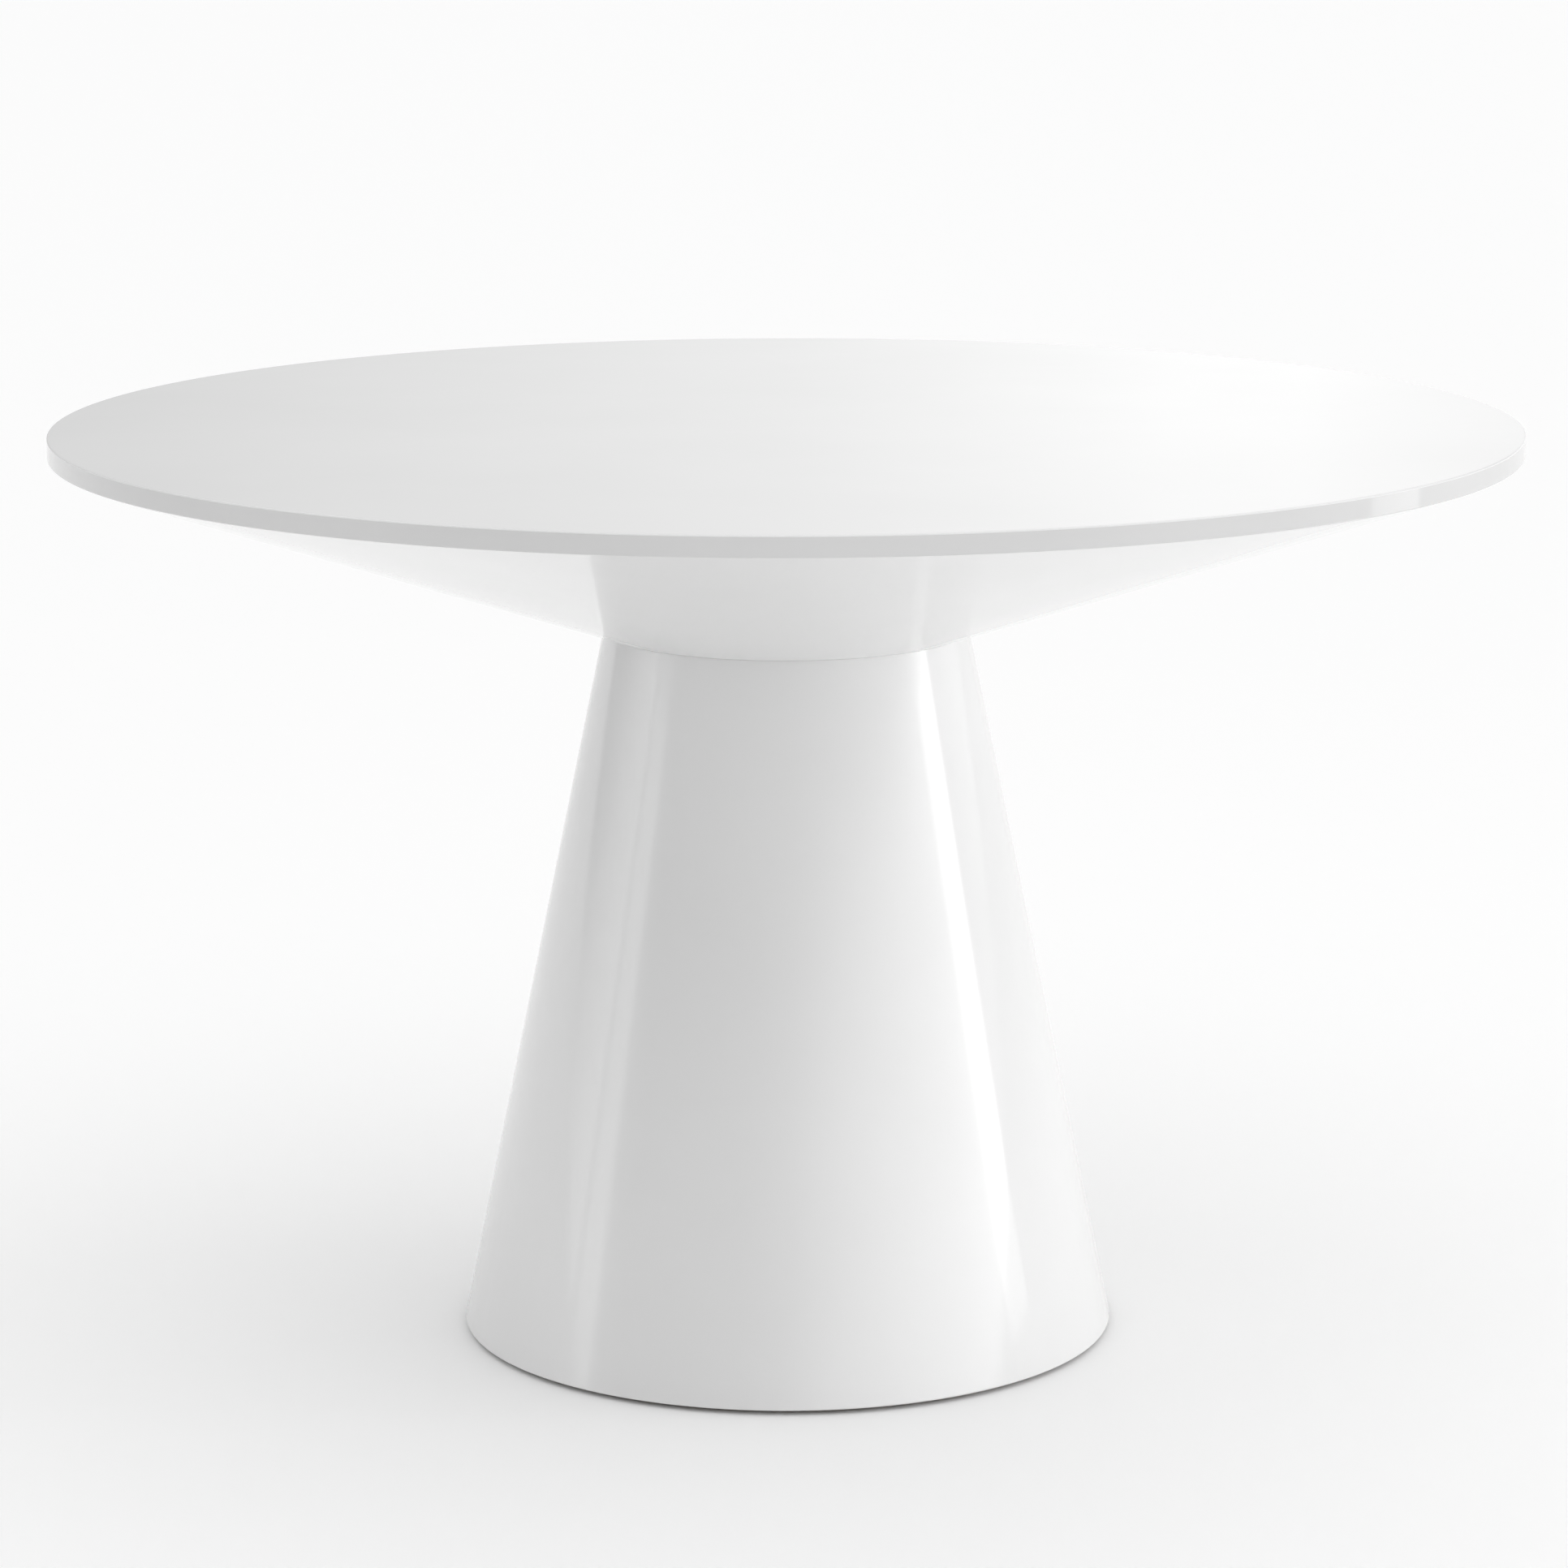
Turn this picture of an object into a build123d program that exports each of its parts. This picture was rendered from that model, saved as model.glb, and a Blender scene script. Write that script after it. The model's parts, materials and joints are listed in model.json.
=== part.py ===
from build123d import *
import os
from math import atan, cos, pi, sin, sqrt, tan

# Round pedestal dining table, in millimetres, +Z up, origin on the floor under the middle.
#
# The top is a torsion box: a flat lacquered panel over a shallow conical skin, held apart by a
# drum, a neck plate and radial ribs. The pedestal is a tapered shell glued round a head plate, a
# middle former, a base ring and inclined battens, weighted by a steel ring. Eight bolts through
# the head plate hold the top, and four screw levellers carry the table on the floor.

# ------------------------------------------------ driving dimensions
table_height = 760.0  # floor to the top surface, levellers wound in
top_radius = 600.0
cone_depth = 154.0  # from the neck up to the underside of the panel
neck_radius = 151.0  # where the top's cone meets the pedestal
foot_radius = 272.5  # outside of the pedestal at its foot
floor_gap = 4.0  # the pedestal's edge stands this far off the floor

panel_thickness = 16.5
panel_edge_round = 1.2
skin_thickness = 6.0
skin_inset = 1.2  # the skin starts this far inside the panel's edge
shell_thickness = 9.0
seam_chamfer = 0.6  # eases both sides of the joint at the neck
foot_round = 1.5

glue_gap = 0.3  # glue line round a curved or bevelled seat
neck_plate_thickness = 18.0
head_plate_thickness = 20.0
plate_hole_radius = 40.0  # hand hole through the neck plate and the head plate

drum_wall = 15.0
drum_clearance = 7.0  # from the thread inserts to the drum
rib_count = 8
rib_thickness = 15.0
rib_setback = 80.0  # from the table's edge to the ribs' ends
dowel_radius = 4.0
dowel_fit = 0.1
dowel_length = 30.0
dowel_depth_in_panel = 9.0
dowel_end_gap = 1.0  # glue space at each end of a dowel
dowel_inset = 100.0  # from the rib's ends to its dowels

former_height = 300.0  # underside of the middle former
former_thickness = 18.0
former_width = 75.0
ring_thickness = 25.0
batten_count = 6
batten_width = 40.0
batten_depth = 30.0
ballast_width = 60.0
ballast_thickness = 16.0
ballast_clearance = 1.5  # from the ballast to the battens

bolt_radius = 4.0  # M8
bolt_hole_clearance = 0.5
thread_clearance = 0.1
bolt_count = 8
bolt_setback = 61.0  # from the neck's outside to the bolt circle
bolt_spare_length = 6.5  # bolt end beyond the insert's flange
socket_head_rim = 2.5  # socket head beyond the shank
socket_head_height = 8.0
hex_socket_width = 6.0
hex_socket_depth = 4.0
hex_head_rim = 2.5  # across the flats, each side of the shank
hex_head_height = 5.3
washer_fit = 0.2
washer_rim = 8.0
washer_thickness = 2.0
spring_washer_rim = 3.4
spring_washer_thickness = 2.0
spring_washer_slit = 1.6

insert_wall = 1.0  # flanged thread insert, pressed into plywood
insert_length = 11.0
insert_flange_rim = 6.0
insert_flange_thickness = 1.5
insert_fit = 0.1

screw_radius = 2.4
screw_head_radius = 4.8
screw_point = 5.0
screw_fit = 0.1
recess_width = 1.2  # cross recess in a wood screw's head
recess_length = 5.6
recess_depth = 2.0
drum_screw_length = 50.0
batten_screw_length = 70.0

ballast_bolt_count = 4
ballast_bolt_end_gap = 3.0  # bolt end short of the base ring's underside

leveller_count = 4
leveller_first_angle = 45.0
leveller_clearance = 8.0  # from the ballast to the leveller's shank
leveller_thread_length = 50.0
leveller_stop_gap = 0.2  # collar to insert with the leveller wound in
pad_radius = 20.0
pad_height = 8.5
pad_edge_height = 4.0
pad_crown_radius = 9.0
pad_chamfer = 0.8
pad_floor = 2.5  # pad under the stud's flange
stud_flange_radius = 6.0
stud_flange_thickness = 3.0
collar_rim = 2.5  # across the flats, each side of the shank
collar_height = 4.5
collar_gap = 0.5  # collar above the pad
turn_clearance = 0.2  # round the stud's flange and shank in the pad
turn_seat_gap = 0.1  # under the stud's flange

# ------------------------------------------------ worked-out sizes
panel_bottom = table_height - panel_thickness
neck_height = panel_bottom - cone_depth
skin_rim_radius = top_radius - skin_inset
skin_slope = cone_depth / (skin_rim_radius - neck_radius)
skin_wall_across = skin_thickness / sin(atan(skin_slope))
skin_wall_up = skin_thickness / cos(atan(skin_slope))
shell_taper = (foot_radius - neck_radius) / (neck_height - floor_gap)
shell_wall_across = shell_thickness / cos(atan(shell_taper))

neck_plate_top = neck_height + neck_plate_thickness
head_plate_bottom = neck_height - head_plate_thickness
collar_top = pad_height + collar_gap + collar_height
ring_bottom = collar_top + leveller_stop_gap
ring_top = ring_bottom + ring_thickness
former_top = former_height + former_thickness
ballast_top = ring_top + ballast_thickness
rib_step = 360.0 / rib_count
batten_step = 360.0 / batten_count

bolt_hole_radius = bolt_radius + bolt_hole_clearance
bolt_end_chamfer = bolt_radius / 5
insert_bore_radius = bolt_radius + thread_clearance
insert_radius = insert_bore_radius + insert_wall
insert_hole_radius = insert_radius + insert_fit
insert_flange_radius = insert_radius + insert_flange_rim
insert_flange_hole_radius = insert_flange_radius + insert_fit


def skin_inner_radius(height):
    """Radius of the skin's inner face at a height."""
    return neck_radius + (height - neck_height) / skin_slope - skin_wall_across


def skin_inner_height(radius):
    """Height of the skin's inner face at a radius."""
    return neck_height + (radius - neck_radius) * skin_slope + skin_wall_up


def shell_inner_radius(height):
    """Radius of the pedestal shell's inner face at a height."""
    return foot_radius - (height - floor_gap) * shell_taper - shell_wall_across


def seat_in_skin(height):
    """Radius of a plate that is glued inside the skin."""
    return skin_inner_radius(height) - glue_gap


def seat_in_shell(height):
    """Radius of a plate that is glued inside the pedestal shell."""
    return shell_inner_radius(height) - glue_gap


def batten_face(height):
    """Distance from the axis to a batten's outer face, whose two long edges meet the shell."""
    return sqrt(shell_inner_radius(height) ** 2 - (batten_width / 2) ** 2) - glue_gap


# ------------------------------------------------ places in plan
bolt_circle = neck_radius - bolt_setback
drum_hole_radius = bolt_circle + insert_flange_radius + drum_clearance
drum_radius = drum_hole_radius + drum_wall
drum_screw_circle = drum_radius - drum_wall / 2
drum_screw_first_angle = rib_step / 2
rib_end_radius = top_radius - rib_setback
dowel_circles = (drum_radius + dowel_inset, rib_end_radius - dowel_inset)

# The upright screws pass the middle of each batten halfway along their bite into it.
head_screw_bite = (batten_screw_length - head_plate_thickness) / 2
head_screw_circle = batten_face(head_plate_bottom - head_screw_bite) - batten_depth / 2
ring_screw_bite = (batten_screw_length - ring_thickness) / 2
ring_screw_circle = batten_face(ring_top + ring_screw_bite) - batten_depth / 2

former_hole_radius = seat_in_shell(former_height) - former_width
ballast_radius = batten_face(ballast_top) - batten_depth - ballast_clearance
ballast_hole_radius = ballast_radius - ballast_width
ballast_bolt_circle = ballast_radius - ballast_width / 2
leveller_circle = ballast_radius + leveller_clearance + bolt_radius


# ------------------------------------------------ ways of making a shape
def revolve_outline(*points):
    """Turns a closed outline of (radius, height) points about Z, in the piece being built."""
    with BuildSketch(Plane.XZ) as outline:
        with BuildLine():
            Polyline(*points, close=True)
        make_face()
    revolve(outline.sketch, axis=Axis.Z)


def bevelled_plate(hole_radius, bottom, top, seat):
    """A round plate with a centre hole, whose edge follows the cone that seat(height) gives."""
    revolve_outline(
        (hole_radius, bottom),
        (seat(bottom), bottom),
        (seat(top), top),
        (hole_radius, top),
    )


def radial_plane(angle):
    """The upright plane through the axis at an angle: x runs outwards and y runs up."""
    turn = angle * pi / 180
    return Plane(origin=(0, 0, 0), x_dir=(cos(turn), sin(turn), 0), z_dir=(sin(turn), -cos(turn), 0))


def save(builder, name):
    """Labels a finished piece and writes it as one STEP file."""
    builder.part.label = name
    export_step(builder.part, f"parts/{name}.step")


# ------------------------------------------------ hardware made once, placed many times
def thread_insert():
    """Flanged thread insert: the flange's seat is at z 0 and the barrel points down."""
    with BuildPart() as insert:
        revolve_outline(
            (insert_bore_radius, insert_flange_thickness),
            (insert_bore_radius, -insert_length),
            (insert_radius, -insert_length),
            (insert_radius, 0),
            (insert_flange_radius, 0),
            (insert_flange_radius, insert_flange_thickness),
        )
    return insert.part


def wood_screw(length, grow=0.0):
    """Countersunk screw: the head's flat top is at z 0 and the point is down."""
    head_depth = screw_head_radius - screw_radius
    with BuildPart() as screw:
        revolve_outline(
            (0, 0),
            (screw_head_radius + grow, 0),
            (screw_radius + grow, -head_depth),
            (screw_radius + grow, screw_point - length),
            (0, -length - grow),
        )
        if grow == 0:
            with BuildSketch():
                Rectangle(recess_length, recess_width)
                Rectangle(recess_width, recess_length)
            extrude(amount=-recess_depth, mode=Mode.SUBTRACT)
    return screw.part


def shank(length):
    """The shank of a bolt, from z 0 down, in the bolt being built."""
    with BuildSketch() as section:
        Circle(bolt_radius)
    extrude(section.sketch, amount=-length)


def socket_bolt(length):
    """Socket-head bolt: the head's seat is at z 0 and the shank points down."""
    head_radius = bolt_radius + socket_head_rim
    with BuildPart() as bolt:
        shank(length)
        chamfer(bolt.faces().sort_by(Axis.Z)[0].edges(), length=bolt_end_chamfer)
        with BuildSketch():
            Circle(head_radius)
        extrude(amount=socket_head_height)
        fillet(bolt.faces().sort_by(Axis.Z)[-1].edges(), radius=head_radius / 10)
        with BuildSketch(Plane.XY.offset(socket_head_height)):
            RegularPolygon(radius=hex_socket_width / 2, side_count=6, major_radius=False)
        extrude(amount=-hex_socket_depth, mode=Mode.SUBTRACT)
    return bolt.part


def hex_bolt(length):
    """Hexagon-head bolt: the head's seat is at z 0 and the shank points down."""
    with BuildPart() as bolt:
        shank(length)
        chamfer(bolt.faces().sort_by(Axis.Z)[0].edges(), length=bolt_end_chamfer)
        with BuildSketch():
            RegularPolygon(radius=bolt_radius + hex_head_rim, side_count=6, major_radius=False)
        extrude(amount=hex_head_height)
    return bolt.part


def washer(rim, thickness):
    """Flat ring lying on z 0, which reaches a rim beyond the bolt's shank."""
    with BuildPart() as ring:
        with BuildSketch():
            Circle(bolt_radius + rim)
            Circle(bolt_radius + washer_fit, mode=Mode.SUBTRACT)
        extrude(amount=thickness)
    return ring.part


flange_insert = thread_insert()
flat_washer = washer(washer_rim, washer_thickness)
drum_screw = wood_screw(drum_screw_length)
drum_screw_hole = wood_screw(drum_screw_length, grow=screw_fit)
batten_screw = wood_screw(batten_screw_length)
batten_screw_hole = wood_screw(batten_screw_length, grow=screw_fit)

os.makedirs("parts", exist_ok=True)

# ------------------------------------------------ top: lacquered panel
with BuildPart() as table_top:
    with BuildSketch(Plane.XY.offset(panel_bottom)):
        Circle(top_radius)
    extrude(amount=panel_thickness)
    fillet(table_top.edges().filter_by(GeomType.CIRCLE), radius=panel_edge_round)
    for circle in dowel_circles:
        with BuildSketch(Plane.XY.offset(panel_bottom)):
            with PolarLocations(circle, rib_count):
                Circle(dowel_radius + dowel_fit)
        extrude(amount=dowel_depth_in_panel + dowel_end_gap, mode=Mode.SUBTRACT)
save(table_top, "table_top")

# ------------------------------------------------ top: conical skin under the panel
with BuildPart() as underside_skin:
    revolve_outline(
        (neck_radius, neck_height),
        (skin_rim_radius, panel_bottom),
        (skin_inner_radius(panel_bottom), panel_bottom),
        (skin_inner_radius(neck_height), neck_height),
    )
    seam_edge = underside_skin.faces().sort_by(Axis.Z)[0].edges().sort_by(SortBy.RADIUS)[-1]
    chamfer(seam_edge, length=seam_chamfer)
save(underside_skin, "underside_skin")

# ------------------------------------------------ top: neck plate with its thread inserts
with BuildPart() as neck_plate:
    bevelled_plate(plate_hole_radius, neck_height, neck_plate_top, seat_in_skin)
    with BuildSketch(Plane.XY.offset(neck_height)):
        with PolarLocations(bolt_circle, bolt_count):
            Circle(insert_hole_radius)
    extrude(amount=neck_plate_thickness, mode=Mode.SUBTRACT)
    with Locations((0, 0, neck_height)):
        with PolarLocations(drum_screw_circle, rib_count, drum_screw_first_angle):
            add(drum_screw_hole, rotation=(180, 0, 0), mode=Mode.SUBTRACT)
save(neck_plate, "neck_plate")

with BuildPart() as neck_inserts:
    with Locations((0, 0, neck_plate_top)):
        with PolarLocations(bolt_circle, bolt_count):
            add(flange_insert)
save(neck_inserts, "neck_inserts")

# ------------------------------------------------ top: drum between the neck plate and the panel
with BuildPart() as hub_drum:
    with BuildSketch(Plane.XY.offset(neck_plate_top)):
        Circle(drum_radius)
        Circle(drum_hole_radius, mode=Mode.SUBTRACT)
    extrude(amount=panel_bottom - neck_plate_top)
    with Locations((0, 0, neck_height)):
        with PolarLocations(drum_screw_circle, rib_count, drum_screw_first_angle):
            add(drum_screw_hole, rotation=(180, 0, 0), mode=Mode.SUBTRACT)
save(hub_drum, "hub_drum")

with BuildPart() as drum_screws:
    with Locations((0, 0, neck_height)):
        with PolarLocations(drum_screw_circle, rib_count, drum_screw_first_angle):
            add(drum_screw, rotation=(180, 0, 0))
save(drum_screws, "drum_screws")

# ------------------------------------------------ top: radial ribs and their dowels
# The rib's lower edge clears the round drum and the conical skin at its corners.
rib_half = rib_thickness / 2
rib_inner_radius = drum_radius + glue_gap
rib_toe_radius = seat_in_skin(neck_plate_top)
rib_toe_lift = glue_gap + (sqrt(rib_toe_radius**2 + rib_half**2) - rib_toe_radius) * skin_slope

for number in range(rib_count):
    rib_plane = radial_plane(number * rib_step)
    with BuildPart() as rib:
        with BuildSketch(rib_plane):
            with BuildLine():
                Polyline(
                    (rib_inner_radius, neck_plate_top),
                    (rib_toe_radius - skin_wall_up, neck_plate_top),
                    (rib_toe_radius, skin_inner_height(rib_toe_radius) + rib_toe_lift),
                    (rib_end_radius, skin_inner_height(rib_end_radius) + rib_toe_lift),
                    (rib_end_radius, panel_bottom),
                    (rib_inner_radius, panel_bottom),
                    close=True,
                )
            make_face()
        extrude(amount=rib_half, both=True)
        for circle in dowel_circles:
            with BuildSketch(Plane.XY.offset(panel_bottom)):
                with PolarLocations(circle, 1, start_angle=number * rib_step):
                    Circle(dowel_radius + dowel_fit)
            dowel_depth_in_rib = dowel_length - dowel_depth_in_panel + dowel_end_gap
            extrude(amount=-dowel_depth_in_rib, mode=Mode.SUBTRACT)
    save(rib, f"underside_rib_{number + 1}")

with BuildPart() as rib_dowels:
    for circle in dowel_circles:
        with BuildSketch(Plane.XY.offset(panel_bottom + dowel_depth_in_panel)):
            with PolarLocations(circle, rib_count):
                Circle(dowel_radius)
        extrude(amount=-dowel_length)
save(rib_dowels, "rib_dowels")

# ------------------------------------------------ pedestal: tapered shell
with BuildPart() as pedestal_shell:
    revolve_outline(
        (foot_radius, floor_gap),
        (neck_radius, neck_height),
        (shell_inner_radius(neck_height), neck_height),
        (shell_inner_radius(floor_gap), floor_gap),
    )
    top_edge = pedestal_shell.faces().sort_by(Axis.Z)[-1].edges().sort_by(SortBy.RADIUS)[-1]
    chamfer(top_edge, length=seam_chamfer)
    foot_edge = pedestal_shell.faces().sort_by(Axis.Z)[0].edges().sort_by(SortBy.RADIUS)[-1]
    fillet(foot_edge, radius=foot_round)
save(pedestal_shell, "pedestal_shell")

# ------------------------------------------------ pedestal: head plate, former and base ring
with BuildPart() as head_plate:
    bevelled_plate(plate_hole_radius, head_plate_bottom, neck_height, seat_in_shell)
    with BuildSketch(Plane.XY.offset(head_plate_bottom)):
        with PolarLocations(bolt_circle, bolt_count):
            Circle(bolt_hole_radius)
    extrude(amount=head_plate_thickness, mode=Mode.SUBTRACT)
    with Locations((0, 0, neck_height)):
        with PolarLocations(head_screw_circle, batten_count):
            add(batten_screw_hole, mode=Mode.SUBTRACT)
save(head_plate, "head_plate")

with BuildPart() as middle_former:
    bevelled_plate(former_hole_radius, former_height, former_top, seat_in_shell)
    notch_depth = batten_depth + 2 * glue_gap
    for number in range(batten_count):
        with BuildSketch(radial_plane(number * batten_step)):
            with BuildLine():
                Polyline(
                    (batten_face(former_height) - notch_depth, former_height),
                    (shell_inner_radius(former_height), former_height),
                    (shell_inner_radius(former_top), former_top),
                    (batten_face(former_top) - notch_depth, former_top),
                    close=True,
                )
            make_face()
        extrude(amount=batten_width / 2 + glue_gap, both=True, mode=Mode.SUBTRACT)
save(middle_former, "middle_former")

with BuildPart() as base_ring:
    bevelled_plate(ballast_hole_radius, ring_bottom, ring_top, seat_in_shell)
    with BuildSketch(Plane.XY.offset(ring_bottom)):
        with PolarLocations(leveller_circle, leveller_count, leveller_first_angle):
            Circle(insert_hole_radius)
        with PolarLocations(ballast_bolt_circle, ballast_bolt_count):
            Circle(insert_hole_radius)
    extrude(amount=ring_thickness, mode=Mode.SUBTRACT)
    with BuildSketch(Plane.XY.offset(ring_bottom)):
        with PolarLocations(leveller_circle, leveller_count, leveller_first_angle):
            Circle(insert_flange_hole_radius)
        with PolarLocations(ballast_bolt_circle, ballast_bolt_count):
            Circle(insert_flange_hole_radius)
    extrude(amount=insert_flange_thickness, mode=Mode.SUBTRACT)
    with Locations((0, 0, ring_bottom)):
        with PolarLocations(ring_screw_circle, batten_count):
            add(batten_screw_hole, rotation=(180, 0, 0), mode=Mode.SUBTRACT)
save(base_ring, "base_ring")

# ------------------------------------------------ pedestal: inclined battens and their screws
for number in range(batten_count):
    with BuildPart() as batten:
        with BuildSketch(radial_plane(number * batten_step)):
            with BuildLine():
                Polyline(
                    (batten_face(ring_top) - batten_depth, ring_top),
                    (batten_face(ring_top), ring_top),
                    (batten_face(head_plate_bottom), head_plate_bottom),
                    (batten_face(head_plate_bottom) - batten_depth, head_plate_bottom),
                    close=True,
                )
            make_face()
        extrude(amount=batten_width / 2, both=True)
        with Locations((0, 0, neck_height)):
            with PolarLocations(head_screw_circle, 1, start_angle=number * batten_step):
                add(batten_screw_hole, mode=Mode.SUBTRACT)
        with Locations((0, 0, ring_bottom)):
            with PolarLocations(ring_screw_circle, 1, start_angle=number * batten_step):
                add(batten_screw_hole, rotation=(180, 0, 0), mode=Mode.SUBTRACT)
    save(batten, f"batten_{number + 1}")

with BuildPart() as batten_screws:
    with Locations((0, 0, neck_height)):
        with PolarLocations(head_screw_circle, batten_count):
            add(batten_screw)
    with Locations((0, 0, ring_bottom)):
        with PolarLocations(ring_screw_circle, batten_count):
            add(batten_screw, rotation=(180, 0, 0))
save(batten_screws, "batten_screws")

# ------------------------------------------------ pedestal: steel ballast and its bolts
with BuildPart() as ballast_plate:
    with BuildSketch(Plane.XY.offset(ring_top)):
        Circle(ballast_radius)
        Circle(ballast_hole_radius, mode=Mode.SUBTRACT)
        with PolarLocations(ballast_bolt_circle, ballast_bolt_count):
            Circle(bolt_hole_radius, mode=Mode.SUBTRACT)
    extrude(amount=ballast_thickness)
save(ballast_plate, "ballast_plate")

ballast_bolt_length = washer_thickness + ballast_thickness + ring_thickness - ballast_bolt_end_gap
ballast_bolt = hex_bolt(ballast_bolt_length)
with BuildPart() as ballast_bolts:
    with Locations((0, 0, ballast_top + washer_thickness)):
        with PolarLocations(ballast_bolt_circle, ballast_bolt_count):
            add(ballast_bolt)
save(ballast_bolts, "ballast_bolts")

with BuildPart() as ballast_washers:
    with Locations((0, 0, ballast_top)):
        with PolarLocations(ballast_bolt_circle, ballast_bolt_count):
            add(flat_washer)
save(ballast_washers, "ballast_washers")

with BuildPart() as base_inserts:
    with Locations((0, 0, ring_bottom + insert_flange_thickness)):
        with PolarLocations(ballast_bolt_circle, ballast_bolt_count):
            add(flange_insert, rotation=(180, 0, 0))
        with PolarLocations(leveller_circle, leveller_count, leveller_first_angle):
            add(flange_insert, rotation=(180, 0, 0))
save(base_inserts, "base_inserts")

# ------------------------------------------------ joint at the neck: bolts and washers
washer_stack = washer_thickness + spring_washer_thickness
neck_grip = head_plate_thickness + neck_plate_thickness + insert_flange_thickness
assembly_bolt_length = washer_stack + neck_grip + bolt_spare_length
assembly_bolt = socket_bolt(assembly_bolt_length)
with BuildPart() as assembly_bolts:
    with Locations((0, 0, head_plate_bottom - washer_stack)):
        with PolarLocations(bolt_circle, bolt_count):
            add(assembly_bolt, rotation=(180, 0, 0))
save(assembly_bolts, "assembly_bolts")

with BuildPart() as flat_washers:
    with Locations((0, 0, head_plate_bottom - washer_thickness)):
        with PolarLocations(bolt_circle, bolt_count):
            add(flat_washer)
save(flat_washers, "flat_washers")

with BuildPart() as split_ring:
    add(washer(spring_washer_rim, spring_washer_thickness))
    with BuildSketch():
        slit_length = bolt_radius + spring_washer_rim
        Rectangle(slit_length, spring_washer_slit, align=(Align.MIN, Align.CENTER))
    extrude(amount=spring_washer_thickness, mode=Mode.SUBTRACT)
with BuildPart() as spring_washers:
    with Locations((0, 0, head_plate_bottom - washer_stack)):
        with PolarLocations(bolt_circle, bolt_count):
            add(split_ring.part)
save(spring_washers, "spring_washers")

# ------------------------------------------------ levellers: nylon pad and turning stud
stud_flange_bottom = pad_floor + turn_seat_gap
stud_flange_top = stud_flange_bottom + stud_flange_thickness
pad_pocket_top = stud_flange_top + turn_clearance
collar_bottom = pad_height + collar_gap
stud_top = collar_top + leveller_thread_length

for number in range(leveller_count):
    leveller_angle = leveller_first_angle + number * 360.0 / leveller_count
    with BuildPart() as pad_blank:
        revolve_outline(
            (0, 0),
            (pad_radius - pad_chamfer, 0),
            (pad_radius, pad_chamfer),
            (pad_radius, pad_edge_height),
            (pad_crown_radius, pad_height),
            (bolt_radius + turn_clearance, pad_height),
            (bolt_radius + turn_clearance, pad_pocket_top),
            (stud_flange_radius + turn_clearance, pad_pocket_top),
            (stud_flange_radius + turn_clearance, pad_floor),
            (0, pad_floor),
        )
    with BuildPart() as leveller_pad:
        with PolarLocations(leveller_circle, 1, start_angle=leveller_angle):
            add(pad_blank.part)
    save(leveller_pad, f"leveller_pad_{number + 1}")

    with BuildPart() as stud_blank:
        revolve_outline(
            (0, stud_flange_bottom),
            (stud_flange_radius, stud_flange_bottom),
            (stud_flange_radius, stud_flange_top),
            (bolt_radius, stud_flange_top),
            (bolt_radius, stud_top - bolt_end_chamfer),
            (bolt_radius - bolt_end_chamfer, stud_top),
            (0, stud_top),
        )
        with BuildSketch(Plane.XY.offset(collar_bottom)):
            RegularPolygon(radius=bolt_radius + collar_rim, side_count=6, major_radius=False)
        extrude(amount=collar_height)
    with BuildPart() as leveller_stud:
        with PolarLocations(leveller_circle, 1, start_angle=leveller_angle):
            add(stud_blank.part)
    save(leveller_stud, f"leveller_stud_{number + 1}")
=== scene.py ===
import json
import math

import bmesh
import bpy
from mathutils import Matrix, Vector


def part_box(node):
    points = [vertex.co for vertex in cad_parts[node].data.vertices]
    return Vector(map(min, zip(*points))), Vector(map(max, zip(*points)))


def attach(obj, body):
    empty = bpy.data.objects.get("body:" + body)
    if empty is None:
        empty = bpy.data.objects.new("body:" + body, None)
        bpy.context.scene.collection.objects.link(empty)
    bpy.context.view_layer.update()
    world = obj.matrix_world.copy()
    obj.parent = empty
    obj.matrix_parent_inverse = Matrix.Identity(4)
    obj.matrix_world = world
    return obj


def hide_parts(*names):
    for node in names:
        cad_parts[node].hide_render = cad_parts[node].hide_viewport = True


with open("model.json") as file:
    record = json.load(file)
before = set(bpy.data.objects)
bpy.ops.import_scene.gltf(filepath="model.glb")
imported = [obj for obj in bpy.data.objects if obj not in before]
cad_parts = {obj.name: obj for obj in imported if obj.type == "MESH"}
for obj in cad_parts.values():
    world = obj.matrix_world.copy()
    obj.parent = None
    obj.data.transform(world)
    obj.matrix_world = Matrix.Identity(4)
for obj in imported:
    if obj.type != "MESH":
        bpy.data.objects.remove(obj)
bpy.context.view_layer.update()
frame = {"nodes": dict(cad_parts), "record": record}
mm = 0.001  # the scene is in metres, the sizes below are in millimetres


def toLinear(hexColour):  # sRGB hex to the linear colour that the shaders want
    channels = [int(hexColour[i:i + 2], 16) / 255 for i in (1, 3, 5)]
    linear = [c / 12.92 if c <= 0.04045 else ((c + 0.055) / 1.055) ** 2.4 for c in channels]
    return (*linear, 1.0)


def perMetre(size):  # pattern scale for a feature of a size in millimetres
    return 1.0 / (size * mm)


def addNode(tree, kind, settings=None, **links):
    # settings holds node properties, input values and ramp stops. links holds what feeds each
    # input, by the input's name with _ for a space, or a0, a1 for its number.
    node = tree.nodes.new("ShaderNode" + kind)
    for key, value in (settings or {}).items():
        if key == "stops":
            elements = node.color_ramp.elements
            while len(elements) < len(value):
                elements.new(0.5)
            for element, (place, tone) in zip(elements, value):
                element.position = place
                element.color = toLinear(tone) if isinstance(tone, str) else (tone, tone, tone, 1.0)
        elif isinstance(key, str) and hasattr(node, key):
            setattr(node, key, value)
        else:
            node.inputs[key].default_value = value
    for key, source in links.items():
        name = int(key[1:]) if key[1:].isdigit() else key.replace("_", " ")
        tree.links.new(source, node.inputs[name])
    return node.outputs


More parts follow.
